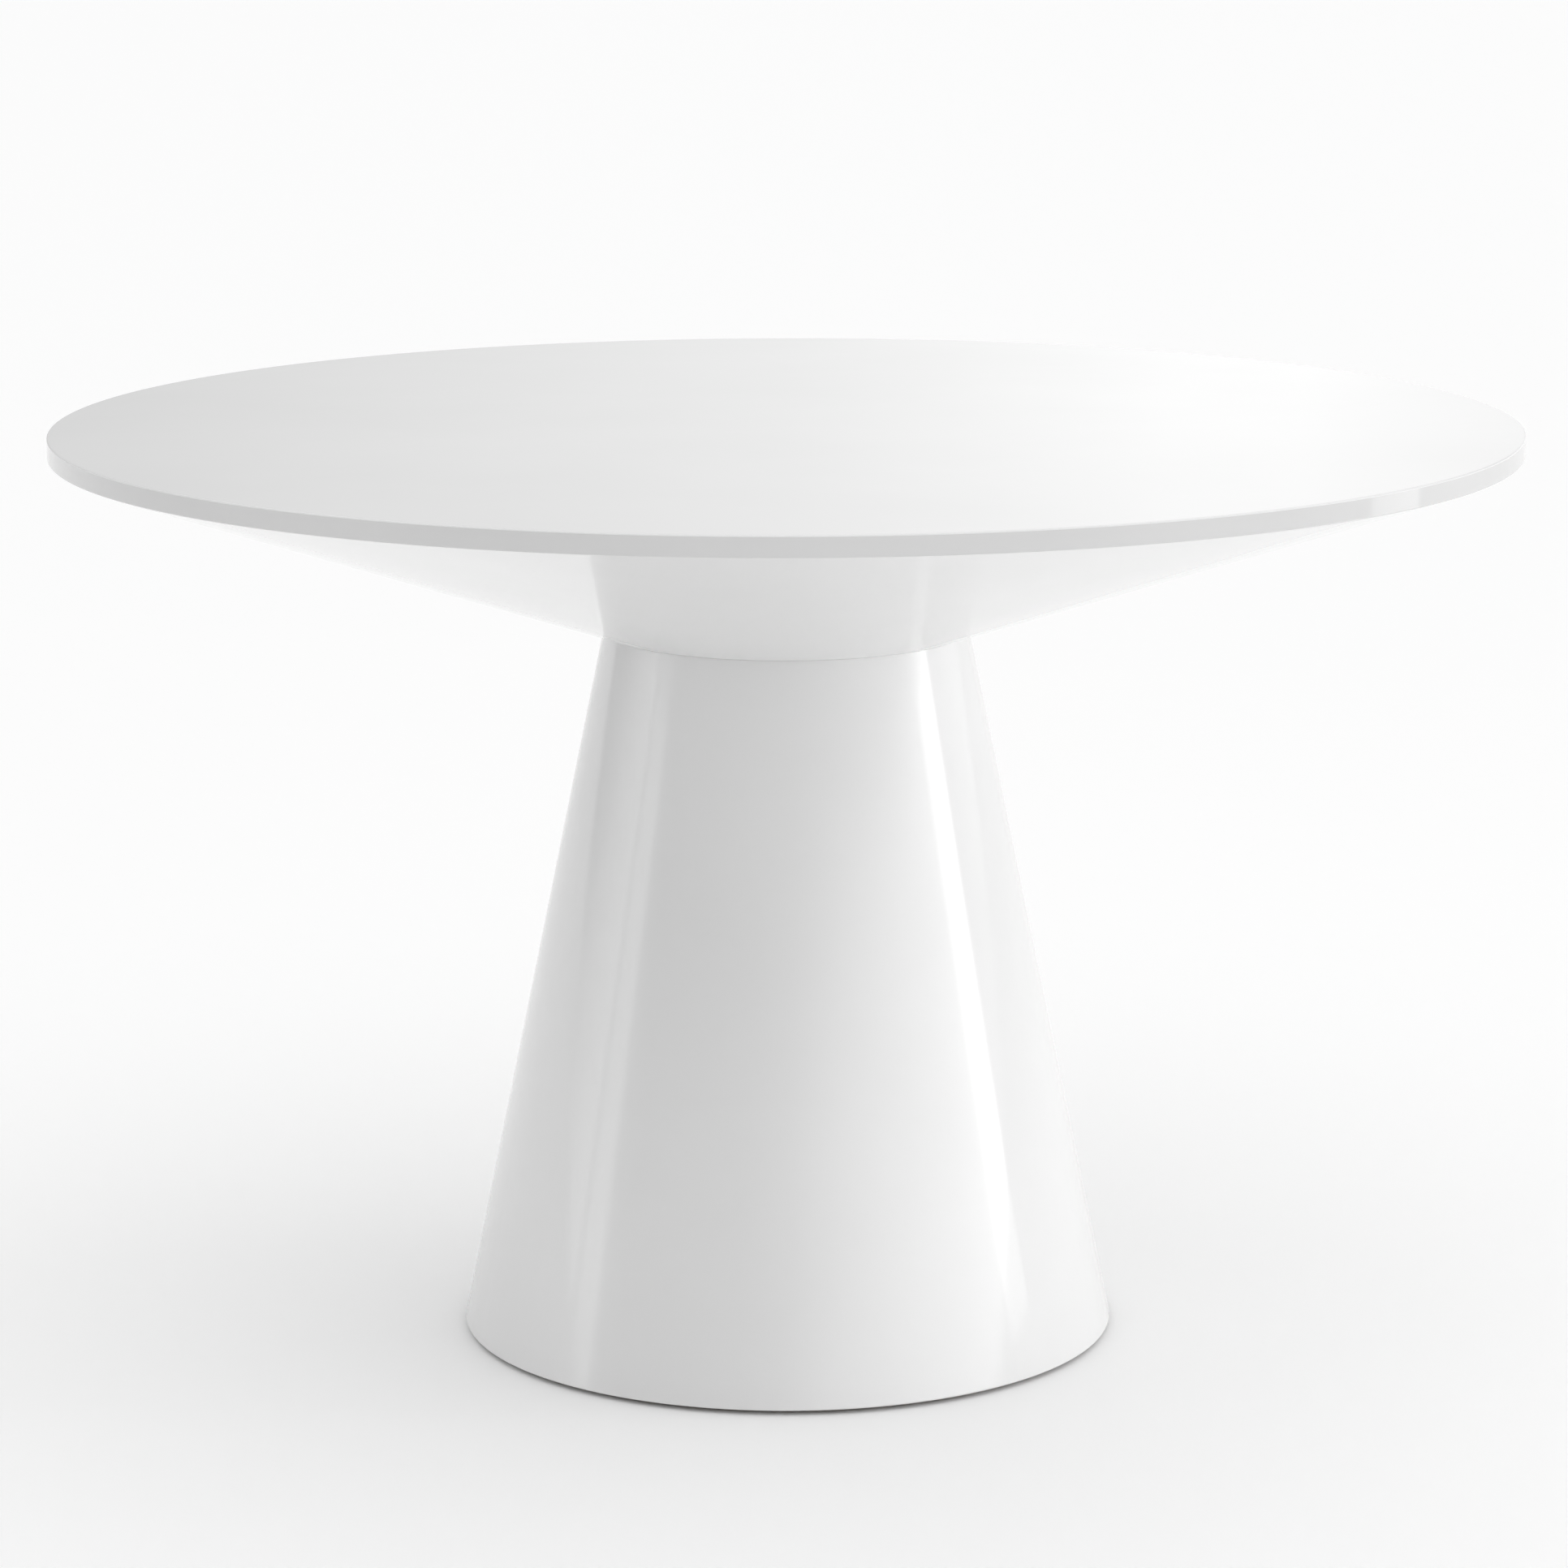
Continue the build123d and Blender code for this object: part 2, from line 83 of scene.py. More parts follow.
def newFinish(name, **sockets):
    # A bare finish with its constants on the shader's own sockets. Gives the material, its tree,
    # its shader and the place on the object that the patterns are drawn by.
    material = bpy.data.materials.new(name)
    material.use_nodes = True
    tree = material.node_tree
    shader = tree.nodes["Principled BSDF"]
    for key, value in sockets.items():
        shader.inputs[key.replace("_", " ")].default_value = value
    return material, tree, shader, addNode(tree, "TexCoord")["Object"]


def lacquerFinish(name, body, thin):
    # White two-part polyurethane lacquer, sprayed on fibreboard and polished. The eye gets a
    # bright neutral body under a mirror-like face, whose reflections bend a little on the long
    # wave that block sanding leaves.
    look = {
        "patchSize": 260.0,  # mm between thicker and thinner patches of the film
        "waveSize": 60.0,  # mm between the long waves of the sanding block
        "waveDepth": 0.003,
        "peelSize": 2.4,  # mm, the orange peel that polishing leaves
        "peelDepth": 0.0007,
        "polishSize": 35.0,
        "polish": (0.045, 0.085),  # roughness, best and worst
    }
    material, tree, shader, place = newFinish(name, IOR=1.5)
    patches = {"Scale": perMetre(look["patchSize"]), "Detail": 3.0}
    film = addNode(tree, "TexNoise", patches, Vector=place)
    tone = addNode(tree, "ValToRGB", {"stops": [(0.35, thin), (0.65, body)]}, Fac=film["Fac"])
    rubbing = {"Scale": perMetre(look["polishSize"]), "Detail": 4.0}
    polish = addNode(tree, "TexNoise", rubbing, Vector=place)
    low, high = look["polish"]
    sheen = addNode(tree, "MapRange", {"To Min": low, "To Max": high}, Value=polish["Fac"])
    waves = {"Scale": perMetre(look["waveSize"]), "Detail": 1.0}
    wave = addNode(tree, "TexNoise", waves, Vector=place)
    dimples = {"Scale": perMetre(look["peelSize"]), "Detail": 1.0}
    peel = addNode(tree, "TexNoise", dimples, Vector=place)
    longRelief = addNode(tree, "Bump", {"Distance": look["waveDepth"] * mm}, Height=wave["Fac"])
    relief = addNode(tree, "Bump", {"Distance": look["peelDepth"] * mm}, Height=peel["Fac"],
                     Normal=longRelief["Normal"])
    tree.links.new(tone["Color"], shader.inputs["Base Color"])
    tree.links.new(sheen["Result"], shader.inputs["Roughness"])
    tree.links.new(relief["Normal"], shader.inputs["Normal"])
    return material


def mdfFinish():
    # Raw medium-density fibreboard, sawn and sanded: dull, flat brown with fine pale and dark
    # fibres.
    look = {
        "pale": "#B8946A",
        "dark": "#8F6B45",
        "fibreSize": 1.2,
        "clumpSize": 11.0,
        "fibreShare": 0.65,  # of the fibres against the clumps
        "fuzz": 0.08,
    }
    material, tree, shader, place = newFinish("rawFibreboard", Roughness=0.85, IOR=1.47)
    fibres = {"Scale": perMetre(look["fibreSize"]), "Detail": 4.0}
    fibre = addNode(tree, "TexNoise", fibres, Vector=place)
    clumps = {"Scale": perMetre(look["clumpSize"]), "Detail": 2.0}
    clump = addNode(tree, "TexNoise", clumps, Vector=place)
    share = {"operation": "MULTIPLY_ADD", 1: look["fibreShare"]}
    both = addNode(tree, "Math", share, a0=fibre["Fac"], a2=clump["Fac"])
    tones = {"stops": [(0.6, look["dark"]), (1.0, look["pale"])]}
    tone = addNode(tree, "ValToRGB", tones, Fac=both["Value"])
    relief = addNode(tree, "Bump", {"Distance": look["fuzz"] * mm}, Height=fibre["Fac"])
    tree.links.new(tone["Color"], shader.inputs["Base Color"])
    tree.links.new(relief["Normal"], shader.inputs["Normal"])
    return material


def plywoodFinish():
    # Birch plywood, rotary cut, sanded, raw: pale faces with a long soft figure, and edges that
    # show the plies.
    look = {
        "early": "#E3CDA6",
        "late": "#C9A777",
        "endGrain": "#A9824F",
        "plyThickness": 1.4,
        "figureWidth": 14.0,
        "figureLength": 320.0,
        "poreSize": 0.9,
        "poreDepth": 0.05,
        "edgeTilt": 0.7,  # a face counts as an edge while its normal is this near level
    }
    material, tree, shader, place = newFinish("birchPlywood", Roughness=0.6, IOR=1.47)
    squeeze = {"Scale": (look["figureWidth"] / look["figureLength"], 1.0, 1.0)}
    along = addNode(tree, "Mapping", squeeze, Vector=place)
    bands = {"Scale": perMetre(look["figureWidth"]), "Detail": 3.0}
    figure = addNode(tree, "TexNoise", bands, Vector=along["Vector"])
    specks = {"Scale": perMetre(look["poreSize"]), "Detail": 2.0}
    pores = addNode(tree, "TexNoise", specks, Vector=place)
    faceTones = {"stops": [(0.3, look["late"]), (0.6, look["early"])]}
    faceTone = addNode(tree, "ValToRGB", faceTones, Fac=figure["Fac"])
    crossTones = {"stops": [(0.35, look["endGrain"]), (0.6, look["late"])]}
    crossTone = addNode(tree, "ValToRGB", crossTones, Fac=pores["Fac"])
    # Every second ply is a cross ply, and shows its end grain on the edges.
    height = addNode(tree, "SeparateXYZ", Vector=place)["Z"]
    plyPairs = {"operation": "MULTIPLY", 1: perMetre(2 * look["plyThickness"])}
    pairs = addNode(tree, "Math", plyPairs, a0=height)
    turn = addNode(tree, "Math", {"operation": "FRACT"}, a0=pairs["Value"])
    crossPly = addNode(tree, "Math", {"operation": "GREATER_THAN", 1: 0.5}, a0=turn["Value"])
    facing = addNode(tree, "SeparateXYZ", Vector=addNode(tree, "NewGeometry")["Normal"])["Z"]
    level = {"operation": "COMPARE", 1: 0.0, 2: look["edgeTilt"]}
    upright = addNode(tree, "Math", level, a0=facing)
    showCross = addNode(tree, "Math", {"operation": "MULTIPLY"}, a0=crossPly["Value"],
                        a1=upright["Value"])
    tone = addNode(tree, "Mix", {"data_type": "RGBA"}, a0=showCross["Value"],
                   a6=faceTone["Color"], a7=crossTone["Color"])
    relief = addNode(tree, "Bump", {"Distance": look["poreDepth"] * mm}, Height=pores["Fac"])
    tree.links.new(tone[2], shader.inputs["Base Color"])
    tree.links.new(relief["Normal"], shader.inputs["Normal"])
    return material


def solidWoodFinish(name, early, late, ringWidth, poreSize, roughness):
    # Planed or turned solid wood: growth rings drawn as long bands up the piece, with short pores
    # in them. At their real width the rings would be too fine to show, so they are drawn coarser.
    look = {
        "coarser": 6.0,  # the wave repeats at 0.31 of this many ring widths, so 1.9 of them
        "drawnOut": 0.06,  # squeeze along the grain, which runs upright
        "wander": 3.5,
        "poreDepth": 0.06,
    }
    material, tree, shader, place = newFinish(name, Roughness=roughness, IOR=1.47)
    along = addNode(tree, "Mapping", {"Scale": (1.0, 1.0, look["drawnOut"])}, Vector=place)
    waves = {
        "wave_type": "RINGS",
        "Scale": perMetre(ringWidth) / look["coarser"],
        "Distortion": look["wander"],
        "Detail": 2.0,
    }
    rings = addNode(tree, "TexWave", waves, Vector=along["Vector"])
    specks = {"Scale": perMetre(poreSize), "Detail": 3.0}
    pores = addNode(tree, "TexNoise", specks, Vector=along["Vector"])
    tone = addNode(tree, "ValToRGB", {"stops": [(0.25, early), (0.9, late)]}, Fac=rings["Fac"])
    relief = addNode(tree, "Bump", {"Distance": look["poreDepth"] * mm}, Height=pores["Fac"])
    tree.links.new(tone["Color"], shader.inputs["Base Color"])
    tree.links.new(relief["Normal"], shader.inputs["Normal"])
    return material


def zincFinish():
    # Bright zinc plate on steel: a pale metal with a faint blue and straw bloom and the fine satin
    # of the bath.
    look = {
        "blue": "#C3C9CF",
        "straw": "#CBC8BC",
        "bloomSize": 9.0,
        "crystalSize": 0.35,
        "crystalDepth": 0.004,
        "satin": (0.22, 0.38),  # roughness, best and worst
    }
    material, tree, shader, place = newFinish("zincPlatedSteel", Metallic=1.0)
    clouds = {"Scale": perMetre(look["bloomSize"]), "Detail": 2.0}
    bloom = addNode(tree, "TexNoise", clouds, Vector=place)
    grains = {"Scale": perMetre(look["crystalSize"]), "Detail": 1.0}
    crystals = addNode(tree, "TexNoise", grains, Vector=place)
    tones = {"stops": [(0.35, look["blue"]), (0.65, look["straw"])]}
    tone = addNode(tree, "ValToRGB", tones, Fac=bloom["Fac"])
    low, high = look["satin"]
    satin = addNode(tree, "MapRange", {"To Min": low, "To Max": high}, Value=crystals["Fac"])
    depth = {"Distance": look["crystalDepth"] * mm}
    relief = addNode(tree, "Bump", depth, Height=crystals["Fac"])
    tree.links.new(tone["Color"], shader.inputs["Base Color"])
    tree.links.new(satin["Result"], shader.inputs["Roughness"])
    tree.links.new(relief["Normal"], shader.inputs["Normal"])
    return material


def primedSteelFinish():
    # Flame-cut steel plate under black primer: nearly black, dull, slightly pebbled by the mill
    # scale beneath.
    look = {
        "primer": "#222325",
        "dust": "#34363A",
        "scaleSize": 5.0,
        "scaleDepth": 0.12,
        "matt": (0.5, 0.7),  # roughness, best and worst
    }
    material, tree, shader, place = newFinish("blackPrimedSteel", IOR=1.5)
    pebbles = {"Scale": perMetre(look["scaleSize"]), "Detail": 4.0}
    scale = addNode(tree, "TexNoise", pebbles, Vector=place)
    tones = {"stops": [(0.4, look["primer"]), (0.75, look["dust"])]}
    tone = addNode(tree, "ValToRGB", tones, Fac=scale["Fac"])
    low, high = look["matt"]
    matt = addNode(tree, "MapRange", {"To Min": low, "To Max": high}, Value=scale["Fac"])
    relief = addNode(tree, "Bump", {"Distance": look["scaleDepth"] * mm}, Height=scale["Fac"])
    tree.links.new(tone["Color"], shader.inputs["Base Color"])
    tree.links.new(matt["Result"], shader.inputs["Roughness"])
    tree.links.new(relief["Normal"], shader.inputs["Normal"])
    return material


def nylonFinish():
    # Moulded natural nylon: milky white with a soft sheen and the fine grain of a spark-eroded
    # mould.
    look = {
        "milk": "#E8E5DC",
        "deep": "#DEDACE",
        "patchSize": 14.0,
        "grainSize": 0.6,
        "grainDepth": 0.02,
        "milkiness": 0.15,
        "lightDepth": (0.004, 0.0035, 0.003),  # metres that red, green and blue light go in
    }
    material, tree, shader, place = newFinish(
        "mouldedNylon", Roughness=0.42, IOR=1.53,
        Subsurface_Weight=look["milkiness"], Subsurface_Radius=look["lightDepth"])
    patches = {"Scale": perMetre(look["patchSize"]), "Detail": 2.0}
    patch = addNode(tree, "TexNoise", patches, Vector=place)
    grains = {"Scale": perMetre(look["grainSize"]), "Detail": 2.0}
    grain = addNode(tree, "TexNoise", grains, Vector=place)
    tones = {"stops": [(0.35, look["deep"]), (0.65, look["milk"])]}
    tone = addNode(tree, "ValToRGB", tones, Fac=patch["Fac"])
    relief = addNode(tree, "Bump", {"Distance": look["grainDepth"] * mm}, Height=grain["Fac"])
    tree.links.new(tone["Color"], shader.inputs["Base Color"])
    tree.links.new(relief["Normal"], shader.inputs["Normal"])
    return material


def floorFinish():
    # Studio floor in matt white paint, rolled: no figure, only the faint stipple of the roller.
    look = {"paint": "#FDFDFD", "stippleSize": 3.0, "stippleDepth": 0.05}
    material, tree, shader, place = newFinish(
        "mattWhiteFloorPaint", Base_Color=toLinear(look["paint"]), Roughness=0.8,
        Specular_IOR_Level=0.2)
    dabs = {"Scale": perMetre(look["stippleSize"]), "Detail": 1.0}
    stipple = addNode(tree, "TexNoise", dabs, Vector=place)
    depth = {"Distance": look["stippleDepth"] * mm}
    relief = addNode(tree, "Bump", depth, Height=stipple["Fac"])
    tree.links.new(relief["Normal"], shader.inputs["Normal"])
    return material


finishes = {
    "white_lacquer": lacquerFinish("whiteGlossLacquer", "#E8E8E8", "#E5E5E5"),
    # the same lacquer painted greyer for the upright rim: painted shade, standing in for the dimmer
    # light that falls on the edge
    "shadedRimLacquer": lacquerFinish("whiteLacquerPaintedShadeOnRim", "#D5D5D5", "#D1D1D1"),
    "raw_mdf": mdfFinish(),
    "birch_plywood": plywoodFinish(),
    "pine": solidWoodFinish("planedPine", "#E2C08A", "#BF8B4C",
                            ringWidth=4.0, poreSize=1.5, roughness=0.55),
    "beech": solidWoodFinish("turnedBeech", "#D9B38A", "#C39468",
                             ringWidth=2.5, poreSize=0.8, roughness=0.5),
    "zinc_steel": zincFinish(),
    "black_steel": primedSteelFinish(),
    "nylon": nylonFinish(),
}
print("finishes made:", ", ".join(material.name for material in finishes.values()))


# A shape below is (vertices, faces, finish number of each face), in millimetres.

def turned(outline, segments):
    # A closed outline of (radius, height, finish) turned round an upright axis.
    vertices, faces, marks, rows = [], [], [], []
    onAxis = [radius < 1e-6 for radius, _, _ in outline]
    for (radius, height, _), pointed in zip(outline, onAxis):
        if pointed:
            rows.append([len(vertices)] * segments)
            vertices.append(Vector((0, 0, height)))
            continue
        rows.append(range(len(vertices), len(vertices) + segments))
        for k in range(segments):
            turn = 2 * math.pi * k / segments
            vertices.append(Vector((radius * math.cos(turn), radius * math.sin(turn), height)))
    for i, (_, _, mark) in enumerate(outline):
        j = (i + 1) % len(outline)
        if onAxis[i] and onAxis[j]:
            continue
        low, high = rows[i], rows[j]
        for k in range(segments):
            after = (k + 1) % segments
            faces.append(tuple(dict.fromkeys((low[k], low[after], high[after], high[k]))))
            marks.append(mark)
    return vertices, faces, marks


def eased(before, corner, after, radius, mark=0, steps=6):
    # Outline points of a small round that takes one corner off.
    a, c, b = Vector(before), Vector(corner), Vector(after)
    u, v = (a - c).normalized(), (b - c).normalized()
    half = u.angle(v) / 2
    middle = c + (u + v).normalized() * (radius / math.sin(half))
    start = c + u * (radius / math.tan(half)) - middle
    end = c + v * (radius / math.tan(half)) - middle
    sweep = start.angle(end)
    points = []
    for k in range(steps + 1):
        t = k / steps
        arm = start * math.sin((1 - t) * sweep) + end * math.sin(t * sweep)
        point = middle + arm / math.sin(sweep)
        points.append((point.x, point.y, mark))
    return points


def prism(radius, count, low, high, chamfer):
    # An upright bar with a regular section of count corners, chamfered at both ends.
    endRadius = radius * math.cos(math.pi / count) * 0.97  # just inside the flats
    rings = [(endRadius, low), (radius, low + chamfer), (radius, high - chamfer), (endRadius, high)]
    vertices = [Vector((0, 0, low)), Vector((0, 0, high))]
    starts = []
    for r, z in rings:
        starts.append(len(vertices))
        for k in range(count):
            turn = 2 * math.pi * k / count
            vertices.append(Vector((r * math.cos(turn), r * math.sin(turn), z)))
    faces = []
    for k in range(count):
        after = (k + 1) % count
        faces.append((0, starts[0] + after, starts[0] + k))
        for first, second in zip(starts, starts[1:]):
            faces.append((first + k, first + after, second + after, second + k))
        faces.append((starts[-1] + k, starts[-1] + after, 1))
    return vertices, faces, [0] * len(faces)


def threaded(radius, pitch, low, high, around=40, perTurn=8):
    # A rod with a helical thread that fades out at both ends.
    depth = 0.54 * pitch  # of a metric thread
    crestWidth = 0.8  # below 1 the crests are narrower than the grooves
    rows = int((high - low) / pitch * perTurn)
    vertices, faces = [], []
    for j in range(rows + 1):
        z = low + (high - low) * j / rows
        fade = min(1.0, (z - low) / pitch, (high - z) / pitch)
        for k in range(around):
            turn = 2 * math.pi * k / around
            phase = (z / pitch - k / around) % 1.0
            groove = 0.5 - 0.5 * math.cos(2 * math.pi * phase)
            r = radius - depth * (groove ** crestWidth * fade + 0.5 * (1 - fade))
            vertices.append(Vector((r * math.cos(turn), r * math.sin(turn), z)))
    for row in range(0, rows * around, around):
        nextRow = row + around
        for k in range(around):
            after = (k + 1) % around
            faces.append((row + k, row + after, nextRow + after, nextRow + k))
    faces.append(tuple(reversed(range(around))))
    faces.append(tuple(range(rows * around, (rows + 1) * around)))
    return vertices, faces, [0] * len(faces)


def joined(*shapes):
    vertices, faces, marks = [], [], []
    for more, moreFaces, moreMarks in shapes:
        start = len(vertices)
        vertices += more
        faces += [tuple(start + i for i in face) for face in moreFaces]
        marks += moreMarks
    return vertices, faces, marks


def placed(shape, spot):
    vertices, faces, marks = shape
    return [v + spot for v in vertices], faces, marks


def addPiece(name, shape, body, replaced, slot, others=()):
    # Makes the mesh, gives it its finishes, hangs it on its body's empty and hides the CAD node
    # that it replaces.
    vertices, faces, marks = shape
    mesh = bpy.data.meshes.new(name)
    mesh.from_pydata([v * mm for v in vertices], [], faces)
    for finish in (slot, *others):
        mesh.materials.append(finishes[finish])
    mesh.polygons.foreach_set("material_index", marks)
    shell = bmesh.new()
    shell.from_mesh(mesh)
    bmesh.ops.remove_doubles(shell, verts=shell.verts, dist=1e-7)
    bmesh.ops.recalc_face_normals(shell, faces=shell.faces)
    shell.to_mesh(mesh)
    shell.free()
    mesh.polygons.foreach_set("use_smooth", [True] * len(mesh.polygons))
    mesh.set_sharp_from_angle(angle=math.radians(30))  # steeper edges than this stay sharp
    piece = bpy.data.objects.new(name, mesh)
    bpy.context.scene.collection.objects.link(piece)
    evenShading = piece.modifiers.new("evenShading", "WEIGHTED_NORMAL")
    evenShading.keep_sharp = True  # flat faces stay flat beside small rounds
    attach(piece, body)
    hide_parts(replaced)


def boxOf(node):  # a node's lowest and highest corner, in millimetres
    low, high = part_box(node)
    return low / mm, high / mm


lathe = {"segments": 384, "innerRound": 0.5}  # for all three turned pieces
panelLow, panelHigh = boxOf("table_top")
skinLow, skinHigh = boxOf("underside_skin")
shellLow, shellHigh = boxOf("pedestal_shell")

panel = {
    "edgeRound": 1.2,
    "rawInset": 12.0,  # the lacquer on the underside ends this far inside the cone's edge
}


def tableTop():
    out, low, high, ease = panelHigh.x, panelLow.z, panelHigh.z, panel["edgeRound"]
    # finish numbers: 0 lacquered face, 1 raw fibreboard, 2 lacquered cut edge, painted greyer as
    # shade
    # two rings of points on the face keep its shading even
    outline = [(0, high, 0), (out * 0.5, high, 0), (out - 4 * ease, high, 0)]
    outline += eased((0, high), (out, high), (out, low), ease)[:-1]
    outline += [(out, high - ease, 2)]
    outline += eased((out, high), (out, low), (0, low), ease, 2)
    outline += [(skinHigh.x - panel["rawInset"], low, 1), (0, low, 1)]
    addPiece("tabletop", turned(outline, lathe["segments"]), "table", "table_top",
             "white_lacquer", ("raw_mdf", "shadedRimLacquer"))


def coneShell(name, node, bottom, top, thickness, lowerRound, upperRound):
    # A cone of sheet with both rims cut level: lacquered outside and on its rims, raw inside.
    (r0, z0), (r1, z1) = bottom, top
    across = thickness * math.hypot(r1 - r0, z1 - z0) / abs(z1 - z0)
    innerBottom, innerTop = (r0 - across, z0), (r1 - across, z1)
    outline = eased(innerBottom, bottom, top, lowerRound)
    outline += eased(bottom, top, innerTop, upperRound)
    outline += eased(top, innerTop, innerBottom, lathe["innerRound"], 1)
    outline += eased(innerTop, innerBottom, bottom, lathe["innerRound"], 1)
    radius, height, _ = outline[-1]
    outline[-1] = (radius, height, 0)  # the lower rim starts here
    addPiece(name, turned(outline, lathe["segments"]), "table", node,
             "white_lacquer", ("raw_mdf",))


underside = {
    "neckRadius": 151.0,  # where it meets the pedestal
    "thickness": 6.0,
    "seamRound": 0.4,
    "glueLineRound": 0.1,  # under the top
}
pedestal = {
    "thickness": 9.0,
    "seamRound": 0.4,
    "footRound": 1.5,
}
tableTop()
coneShell("undersideCone", "underside_skin",
          (underside["neckRadius"], skinLow.z), (skinHigh.x, skinHigh.z),
          underside["thickness"], underside["seamRound"], underside["glueLineRound"])
coneShell("pedestalShell", "pedestal_shell",
          (shellHigh.x, shellLow.z), (underside["neckRadius"], shellHigh.z),
          pedestal["thickness"], pedestal["footRound"], pedestal["seamRound"])
print("table top, underside and pedestal made")


stud = {
    "segments": 48,  # round its head and neck
    "radius": 4.0,
    "pitch": 1.25,
    "headRadius": 6.0,  # turns inside the pad
    "headLow": 2.6,
    "headHigh": 5.6,
    "headEase": 0.4,
    "collarRadius": 7.5,  # hexagon, across the corners
    "collarLow": 9.0,
    "collarHigh": 13.5,
    "collarChamfer": 0.5,
    "lap": 0.2,  # by which neck, collar and thread run into each other
}
pad = {
    "segments": 96,
    "rimHeight": 4.0,
    "ease": 0.8,
    "crownRadius": 9.0,
    "mouthClearance": 0.3,  # round the stud's neck
    "mouthEase": 0.4,
    "mouthHeight": 6.0,
    "socketRadius": 6.2,
    "socketLow": 2.5,
    "socketHigh": 5.8,
    "hollow": 1.0,  # under the pad, so that it stands on its rim
    "hollowRadius": 14.0,
    "hollowEase": 0.6,
    "hollowSlope": 1.0,  # how far in its wall leans
    "footEase": 0.4,
}


def levellerPad(number):
    node = f"leveller_pad_{number}"
    low, high = boxOf(node)
    spot = Vector(((low.x + high.x) / 2, (low.y + high.y) / 2, 0))
    out, top = (high.x - low.x) / 2, high.z
    mouth, crown = stud["radius"] + pad["mouthClearance"], pad["crownRadius"]
    rim, ease, socket = pad["rimHeight"], pad["ease"], pad["socketRadius"]
    hollow, lip = pad["hollow"], pad["hollowRadius"]
    inner = lip - pad["hollowSlope"]
    outline = [(0, hollow, 0), (inner - pad["hollowSlope"], hollow, 0)]
    outline += eased((0, hollow), (inner, hollow), (lip, 0), pad["hollowEase"])
    outline += eased((inner, hollow), (lip, 0), (out, 0), pad["footEase"])
    outline += eased((lip, 0), (out, 0), (out, rim), ease)
    outline += eased((out, 0), (out, rim), (crown, top), ease)
    outline += eased((out, rim), (crown, top), (mouth, top), ease)
    outline += eased((crown, top), (mouth, top), (mouth, rim), pad["mouthEase"])
    outline += [(mouth, pad["mouthHeight"], 0), (socket, pad["socketHigh"], 0),
                (socket, pad["socketLow"], 0), (0, pad["socketLow"], 0)]
    shape = placed(turned(outline, pad["segments"]), spot)
    addPiece(f"levellerPad.{number}", shape, node, node, "nylon")


def levellerStud(number):
    node = f"leveller_stud_{number}"
    low, high = boxOf(node)
    spot = Vector(((low.x + high.x) / 2, (low.y + high.y) / 2, 0))
    radius, head, ease = stud["radius"], stud["headRadius"], stud["headEase"]
    headLow, headHigh = stud["headLow"], stud["headHigh"]
    neckHigh = stud["collarLow"] + stud["lap"]
    headAndNeck = turned([
        (0, headLow, 0), (head - ease, headLow, 0), (head, headLow + ease, 0),
        (head, headHigh - ease, 0), (head - ease, headHigh, 0), (radius, headHigh, 0),
        (radius, neckHigh, 0), (0, neckHigh, 0),
    ], stud["segments"])
    collar = prism(stud["collarRadius"], 6, stud["collarLow"], stud["collarHigh"],
                   stud["collarChamfer"])
    rod = threaded(radius, stud["pitch"], stud["collarHigh"] - stud["lap"], high.z)
    shape = placed(joined(headAndNeck, collar, rod), spot)
    addPiece(f"levellerStud.{number}", shape, node, node, "zinc_steel")


for number in range(1, 5):
    levellerPad(number)
    levellerStud(number)
print("levellers made")

for subpart in frame["record"]["subparts"]:
    materials = frame["nodes"][subpart["node"]].data.materials
    materials.clear()
    materials.append(finishes[subpart["material_slot"]])
print("frame nodes finished")


def studioFloor(half):  # half of its width, in metres
    mesh = bpy.data.meshes.new("studioFloor")
    corners = [(-half, -half, 0), (half, -half, 0), (half, half, 0), (-half, half, 0)]
    mesh.from_pydata(corners, [], [(0, 1, 2, 3)])
    floor = bpy.data.objects.new("studioFloor", mesh)
    bpy.context.scene.collection.objects.link(floor)
    mesh.materials.append(floorFinish())


sidePanel = {  # an upright panel of light close to the rim
    "azimuth": 83.8,  # degrees from the camera's side towards the right
    "distance": 1.343,  # metres from the table's axis, as the rest
    "low": 0.02,
    "high": 0.7,
    "width": 0.25,
    "brightness": 1.3,  # radiance of its face
}


def softbox(name, azimuth, distance, low, high, width, brightness):
    light = bpy.data.lights.new(name, "AREA")
    light.shape = "RECTANGLE"
    light.size, light.size_y = width, high - low
    light.energy = brightness * math.pi * light.size * light.size_y
    turn = math.radians(azimuth)
    away = Vector((math.sin(turn), -math.cos(turn), 0))
    lamp = bpy.data.objects.new(name, light)
    bpy.context.scene.collection.objects.link(lamp)
    lamp.location = away * distance + Vector((0, 0, (low + high) / 2))
    lamp.rotation_euler = (-away).to_track_quat("-Z", "Y").to_euler()
    lamp.visible_camera = False  # the camera looks through the panel, from every side


